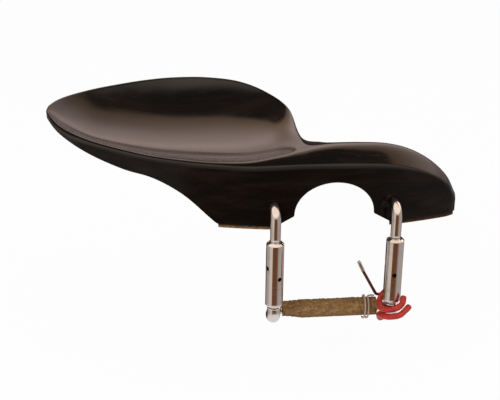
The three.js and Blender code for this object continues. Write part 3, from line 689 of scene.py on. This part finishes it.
# Each barrel with its turn. Both have two key holes, each a drop below the top and a turn more.
barrels = [("left_barrel", "left_turnbuckle", 28), ("right_barrel", "right_turnbuckle", -6)]
crossed_holes, key_hole_radius = ((8.1, -90), (11.4, 0)), 0.65
# Painted shade inside the barrels: within this radius of their axes, between these levels, the bore and
# key holes are painted dark.
key_holes = (barrel_radius - 0.07, barrel_end + 5, -barrel_drop - 5)
turned_nickel = metal("turned_nickel", *nickel, 0.06, 0.12, (60, 60, 7000), 0.5, key_holes)
for x, (name, body, hole_turn) in zip(post_places, barrels):
    cone = [(-barrel_chamfer, 0), (-0.07, barrel_chamfer - 0.06)]
    cone += [(-0.02, barrel_chamfer), (0, barrel_chamfer + 0.07)]
    cone = [(barrel_radius + r, z) for r, z in cone]
    low = [(r, barrel_end + z) for r, z in cone]
    high = [(r, -barrel_drop - z) for r, z in reversed(cone)]
    rest_of_it = [(barrel_radius, z) for z in np.linspace(low[-1][1], high[0][1], 24)[1:-1]]
    item = turned_shape(name, x, -post_standoff, low + rest_of_it + high)
    mouth = [(bore_radius + 0.25, -0.2), (bore_radius + 0.25, 0.0), (bore_radius, 0.25)]
    bore = [(r, barrel_end + z) for r, z in mouth]
    bore += [(r, -barrel_drop - z) for r, z in reversed(mouth)]
    cutters = [turned_shape("bore_cutter", x, -post_standoff, bore)]
    for drop, quarter in crossed_holes:
        angle = math.radians(hole_turn + quarter)
        level = -barrel_drop - drop
        out = np.array([-math.sin(angle), math.cos(angle), 0])
        reach = np.array([-3.0, -2.72, -2.5, 2.5, 2.72, 3.0])
        radii = key_hole_radius + np.array([0.09, 0.07, 0, 0, 0.07, 0.09])
        path = np.array([x, -post_standoff, level]) + reach[:, None] * out
        cutters.append(swept("key_hole_cutter", path, radii, (0, 0, 1), 32))
    finish_piece(carve(item, cutters), turned_nickel, body, name, crease=30)

# The lower bracket: one rod with a thread on each leg, a shoulder under each barrel, two tight
# elbows each side, and a thinner bar between them that carries the cork.
elbow_radius, bar_radius, bracket_bend = 2.05, 1.4, 3.0
bar_back, bar_level, wrap_reach = 2.8, -28.2, 15.05
leg_x, leg_top, shoulder, leg_rings = post_places[0], -6.9, barrel_end - 0.3, 400
leg_levels = (leg_top, shoulder + 0.35, shoulder + 0.01, shoulder, shoulder - 0.4, bar_level)
leg = [(leg_x, -post_standoff, level) for level in leg_levels]
threaded, neck, collar = run(*leg[:2], leg_rings), run(*leg[1:3], 2), run(*leg[3:5], 6)
heel = bend_at(leg[5], (0, 0, -1), (0, 1, 0), bracket_bend)
toe = bend_at((leg_x, bar_back, bar_level), (0, 1, 0), (1, 0, 0), bracket_bend)
half = np.vstack([threaded, neck[1:], collar, heel, toe[1:], [(-7, bar_back, bar_level)]])
half_radii = np.full((len(half), 48), elbow_radius)
cut = thread_cut(threaded[:, 2], 48, 1)
fade = np.clip(np.arange(leg_rings, -1, -1) / 12, 0, 1)[:, None]
half_radii[: leg_rings + 3] = post_diameter / 2
half_radii[: leg_rings + 1] -= cut * fade
half_radii[:8] -= 0.5 * (1 - np.arange(8) / 7)[:, None]
rounded = np.sin(np.linspace(0, np.pi / 2, 7))[:, None]
half_radii[leg_rings + 3 : leg_rings + 10] = elbow_radius - 0.4 + 0.4 * rounded
thinned = smooth((np.arange(1, 25) / 24 - 0.4) / 0.6)
half_radii[-25:-1] = (elbow_radius + (bar_radius - elbow_radius) * thinned)[:, None]
half_radii[-1] = bar_radius
path = np.vstack([half, half[::-1] * [-1, 1, 1]])
bracket_item = swept("lower_bracket", path, np.vstack([half_radii, half_radii[::-1]]), (0, 1, 0))
# The leg's thread inside the barrel carries the same painted shade.
bent_nickel = metal("bent_nickel", *nickel, 0.10, 0.18, (900, 900, 900), 0.8, threads)
finish_piece(bracket_item, bent_nickel, "bracket", "lower_bracket", crease=32)

# The bar's cork: a strip rolled once round the bar, its edge lapped over its start and glued. It
# is squeezed by use, so its outline waves, and its left end is the thinner one.


def lumps(u, v, seed, waves=7):
    """A soft uneven field between about minus one and one: a sum of sines of two directions,
    their lengths and turns drawn from a seeded row of numbers."""
    draw = np.random.default_rng(seed)
    total = 0
    for k in range(waves):
        a, b = draw.uniform(0.4, 1.6), draw.integers(0, 4)
        c, d = draw.uniform(0, 2 * np.pi), draw.uniform(0.5, 1)
        total = total + d * np.sin(a * (1 + 0.6 * k) * u + b * v + c)
    return total / math.sqrt(waves)


def round_bar(x, turn, radius):
    """A point round the bar's axis: from the front, up over the top and down behind."""
    return np.stack([x, bar_back - radius * np.cos(turn), bar_level + radius * np.sin(turn)], -1)


cork_radius, most_radius, cork_bore, cork_lift = 2.62, 2.96, 1.7, 0.22
sheet, end_round = 0.30, 0.16
along = np.linspace(-1, 1, 181)[:, None]
turn = np.linspace(0, 2 * np.pi, 128, endpoint=False)[None, :]
lap_turn = (turn + np.pi * 0.30 + 0.10 * lumps(along * 9, 0, 5)) % (2 * np.pi)
lap = sheet * lap_turn / (2 * np.pi)
lap_edge = 0.10 * np.exp(-((2 * np.pi - lap_turn) / 0.12) ** 2)
left_wear = 0.42 * smooth((-along - 0.45) / 0.55) * (1.25 - 0.75 * np.sin(turn))
right_wear = 0.10 * smooth((along - 0.85) / 0.15)
waves = 0.11 * lumps(along * 14, turn, 3) + 0.035 * lumps(along * 60, 3 * turn, 4)
radius = cork_radius + lap + lap_edge - left_wear - right_wear + waves
ragged = end_round * (lumps(turn, 0, 8) - np.sign(along)) * (np.abs(along) > 0.99)
grid = round_bar(wrap_reach * along + ragged, turn, np.minimum(radius, most_radius))
bar_cork_item = closed_skin("bar_cork", grid + [0, 0, cork_lift])
path = np.array([[-16.0, bar_back, bar_level], [16.0, bar_back, bar_level]])
carve(bar_cork_item, [swept("bar_cutter", path, np.full(2, cork_bore), (0, 0, 1), 64)])
pale_grain, brown_grain, pit = (0.345, 0.2, 0.082, 1), (0.195, 0.1, 0.036, 1), (0.055, 0.026, 0.012, 1)
bar_cork = cork_material("bar_cork", pale_grain, brown_grain, pit, 0.62, (0.55, 1, 1), 0.35)
finish_piece(bar_cork_item, bar_cork, "bracket", "bar_cork", crease=45)

# The clamp key: a bent steel wire, its short arm along the bar and its shaft leaning up, painted
# brown below a level as a painted reflection. The last few millimetres were bent back a little.
corner, wire_radius, tip_radius = np.array([15.1, 3.9, -24.7]), 0.48, 0.56
shaft_length, tip_length = 8.8, 3.8
lean, tilt = math.radians(61), math.radians(4)
leaving = np.array([-math.cos(lean) * math.cos(tilt), math.sin(tilt), math.sin(lean) * math.cos(tilt)])
arm = run(corner + [6.0, 0, 0], corner + [1.9, 0, 0], 10)
arc = bend_at(corner, (-1, 0, 0), leaving, 1.2)
knee = corner + leaving * shaft_length
upward = np.array([-0.40, 0.30, 0.866])
upward /= np.linalg.norm(upward)
tip_bend = bend_at(knee, leaving, upward, 3.0, 12)
tip = run(tip_bend[-1], knee + upward * tip_length, 12)
path = np.vstack([arm, arc, run(arc[-1], tip_bend[0], 10)[1:-1], tip_bend, tip[1:]])
radii = np.full(len(path), wire_radius)
radii[:3] -= [0.14, 0.05, 0.0]
radii[-14:] = tip_radius
radii[-3:] -= [0.0, 0.04, 0.16]
key_item = swept("clamp_key", path, radii, (0, 0, 1), 32)
shades = (0.56, 0.53, 0.49, 1), (0.33, 0.27, 0.22, 1)
# Below this level the key is painted brown: a painted reflection of the warm room.
steel = metal("steel", *shades, 0.14, 0.26, (1500, 1500, 1500), 1.0, painted_reflection_below=-16.9)
finish_piece(key_item, steel, "bracket", "clamp_key")

# The thread: two plies twisted together, wound round the cork from underneath, with a tail
# towards the key.


def length_along(line, power=1):
    """How far along a line of points each of them lies: the sum of the steps before it, each
    step raised to a power."""
    steps = np.linalg.norm(np.diff(line, axis=0), axis=-1)
    return np.concatenate([[0], np.cumsum(steps**power)])


def eased_route(points, steps):
    """A smooth line through points, evenly stepped: each stretch is a cubic whose slopes follow
    the square root of the distances between its neighbours."""
    points = np.array(points, float)
    rows = np.vstack([2 * points[:1] - points[1:2], points, 2 * points[-1:] - points[-2:-1]])
    knots = length_along(rows, 0.5)
    share = np.linspace(knots[1], knots[-2], 3000)
    k = np.clip(np.searchsorted(knots, share, side="right") - 1, 1, len(points) - 1)

    def between(a, b, at_a, at_b):
        return ((at_b - share)[:, None] * a + (share - at_a)[:, None] * b) / (at_b - at_a)[:, None]

    t = [knots[k + n] for n in (-1, 0, 1, 2)]
    p = [rows[k + n] for n in (-1, 0, 1, 2)]
    first = [between(p[n], p[n + 1], t[n], t[n + 1]) for n in range(3)]
    second = [between(first[n], first[n + 1], t[n], t[n + 2]) for n in range(2)]
    line = between(second[0], second[1], t[1], t[2])
    length = length_along(line)
    at = np.linspace(0, length[-1], steps + 1)
    return np.stack([np.interp(at, length, line[:, axis]) for axis in range(3)], -1)


winding_radius, winding_turns, winding_pitch, winding_start = 3.55, 1.5, 1.05, 4.45
ply_core, ply_swell, ply_length = 0.155, 0.135, 1.35
turned = winding_turns * np.linspace(0, 1, 49)
x = wrap_reach - winding_start + winding_pitch * turned
wound = round_bar(x, 2 * np.pi * turned - np.pi / 2, winding_radius)
route = eased_route(np.vstack([wound, wound[-1] + [1.1, 0.55, 0], wound[-1] + [2.2, 0.275, 0]]), 420)
length = length_along(route)[:, None]
turn = np.linspace(0, 2 * np.pi, 48, endpoint=False)[None, :]
twist = 2 * np.pi * length / ply_length
ply = np.abs(np.cos(turn - twist))
radii = ply_core + ply_swell * ply**0.7 + 0.006 * np.sin(12 * (turn - twist) + 9 * length)
cut_end = np.array([0.45, 0.75, 0.9, 0.97])[:, None]
radii[:4] *= cut_end
radii[-4:] *= cut_end[::-1]
thread_item = swept("key_thread", route, radii, (0, 0, 1))
pale_thread, tree, shader, spot = new_material("pale_thread")
fibre = noise(tree, spot, 6500.0, 3.0, Distortion=0.4)
soiled = blend_band(tree, noise(tree, spot, 700.0, 2.0), 0.45, 0.7, 0.0, 0.6)
colour = mix_colour(tree, fibre, (0.33, 0.22, 0.165, 1), (0.55, 0.42, 0.35, 1))
colour = mix_colour(tree, soiled, colour, (0.30, 0.19, 0.12, 1))
tree.links.new(colour, shader.inputs["Base Color"])
tree.links.new(blend_band(tree, fibre, 0.3, 0.7, 0.55, 0.85), shader.inputs["Roughness"])
raise_surface(tree, fibre, 0.5, 0.00003)
finish_piece(thread_item, pale_thread, "bracket", "key_thread", crease=70)

# The tie: a soft red cord led across the elbow's front, up over the bend and the key's arm, down
# behind them and forward again underneath, its two cut ends free beside the leg.
heel_point = np.array([post_places[1], -post_standoff, bar_level])
upper_end = [[3.25, -2.1, 7.5], [2.65, -3.3, 5.5], [1.25, -3.75, 4.3], [-0.6, -3.45, 3.55]]
upper_end += [[-2.25, -2.4, 3.0], [-3.15, -0.6, 2.7], [-3.1, 1.2, 2.75]]
lower_end = [[-2.55, 3.2, -2.45], [-3.1, 1.6, -0.6], [-3.15, -0.5, 0.3], [-2.5, -2.9, 1.0]]
lower_end += [[-0.6, -4.95, 1.9], [1.7, -5.0, 2.4], [3.5, -3.7, 3.0], [5.35, -2.1, 3.8]]
inside_share = np.array([0.92, 0.42, -0.3, -0.9, -1.03, -0.95, -0.6, 0, 0.62])
high_share = np.array([0.66, 0.98, 1.04, 0.94, 0.42, -0.32, -0.88, -1.06, -0.96])
inward = np.array([-1, -1, 0]) / math.sqrt(2)
to_elbow = inward * bracket_bend * (math.sqrt(2) - 1)
bend_middle = np.array([post_places[1], bar_back, bar_level]) + to_elbow
# The loop hugs the elbow in front and below, and clears the key's arm behind and above it.
key_back, over_key, key_rise, hug = 1.1, 1.6, 3.5, 3.15
beyond_key = (key_back + bracket_bend * (1 - math.sqrt(0.5)) + over_key) * math.sqrt(2)
inside = inside_share * np.where(inside_share > 0, hug, beyond_key)
high = high_share * np.where(high_share > 0, key_rise + over_key, hug)
wound = bend_middle + inside[:, None] * inward + high[:, None] * [0, 0, 1]
route = eased_route(np.vstack([upper_end + heel_point, wound, lower_end + heel_point]), 360)
length = length_along(route)[:, None]
tie_radius, most_radius = 0.94, 0.99
radii = tie_radius + 0.04 * lumps(length * 0.9, 0 * turn, 11) + 0.015 * lumps(length * 3.0, turn, 12)
radii = np.minimum(radii, most_radius)
near_end = np.minimum(length, length[-1] - length)
radii = radii * np.clip(near_end / 0.22, 0, 1) ** 0.35 * (near_end > 0) + 0.35 * (near_end <= 0)
tie_item = swept("bracket_tie", route, radii, (0, 0, 1))
red_tie, tree, shader, spot = new_material("red_tie")
broad, fine = noise(tree, spot, 420.0, 3.0), noise(tree, spot, 4200.0, 4.0, Roughness=0.65)
darker, lighter = blend_band(tree, broad, 0.35, 0.7), blend_band(tree, fine, 0.60, 0.78, 0.0, 0.5)
colour = mix_colour(tree, darker, (0.46, 0.026, 0.014, 1), (0.33, 0.014, 0.009, 1))
colour = mix_colour(tree, lighter, colour, (0.52, 0.09, 0.06, 1))
tree.links.new(colour, shader.inputs["Base Color"])
tree.links.new(blend_band(tree, fine, 0.3, 0.7, 0.34, 0.52), shader.inputs["Roughness"])
raise_surface(tree, plus(tree, fine, broad), 0.25, 0.00004)
finish_piece(tie_item, red_tie, "bracket", "bracket_tie", crease=60)

bpy.context.view_layer.update()
